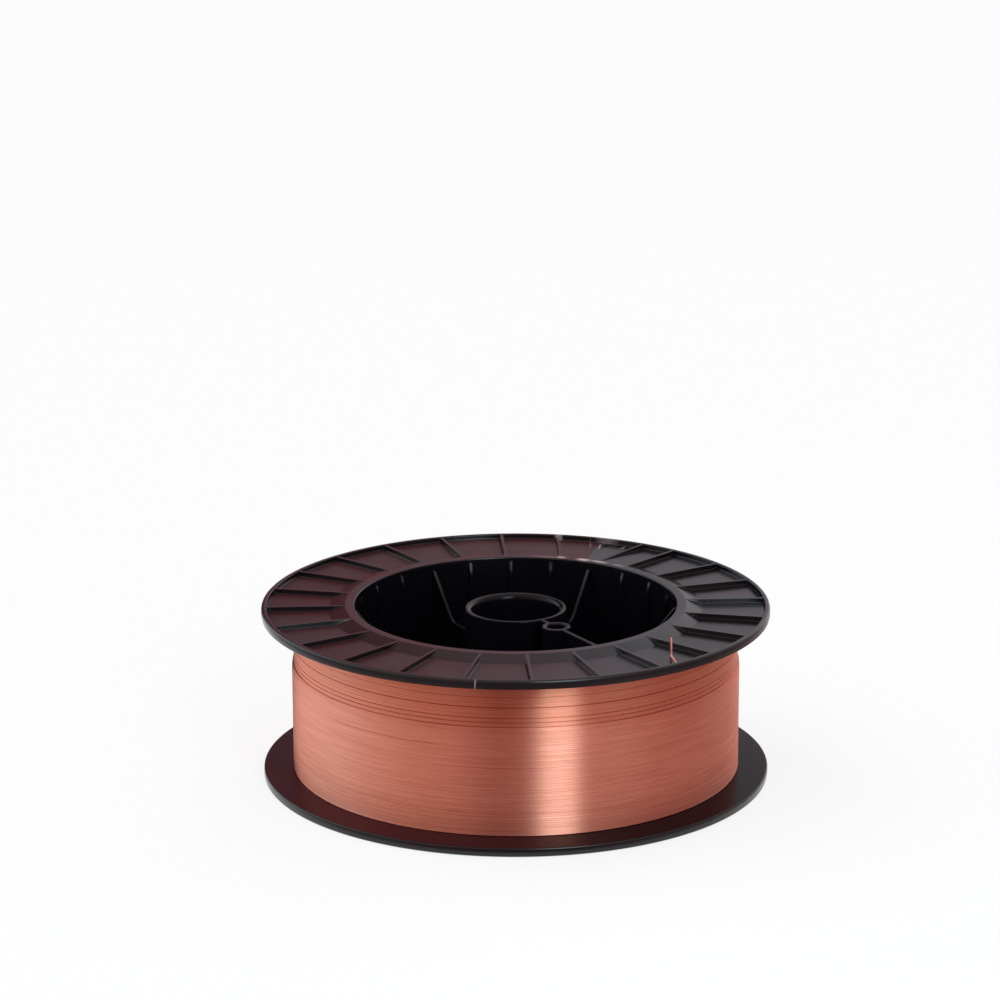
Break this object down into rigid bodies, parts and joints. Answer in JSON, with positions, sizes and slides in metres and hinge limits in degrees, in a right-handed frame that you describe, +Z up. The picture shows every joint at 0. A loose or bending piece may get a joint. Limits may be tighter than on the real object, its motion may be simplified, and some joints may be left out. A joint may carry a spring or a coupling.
{
  "type": "welding wire spool",
  "caption": "Round black plastic spool wound with copper-coated steel welding wire, with ribbed flanges, a hub tube on webs, a drive socket and a hooked wire end.",
  "frame": {"origin": "centre of the footprint, on the lower flange's outer face, which lies on the floor", "axes": "+Z up along the spool's axis; the drive socket is at -58.2 degrees about +Z, front right"},
  "size_m": [0.298, 0.298, 0.1061],
  "materials": {
    "black_plastic": "satin moulded",
    "copper_coated_wire": "copper-coated, drawn"
  },
  "bodies": {
    "root": {"spool": "black_plastic", "wire_winding": "copper_coated_wire", "wire_end": "copper_coated_wire"}
  },
  "joints": []
}
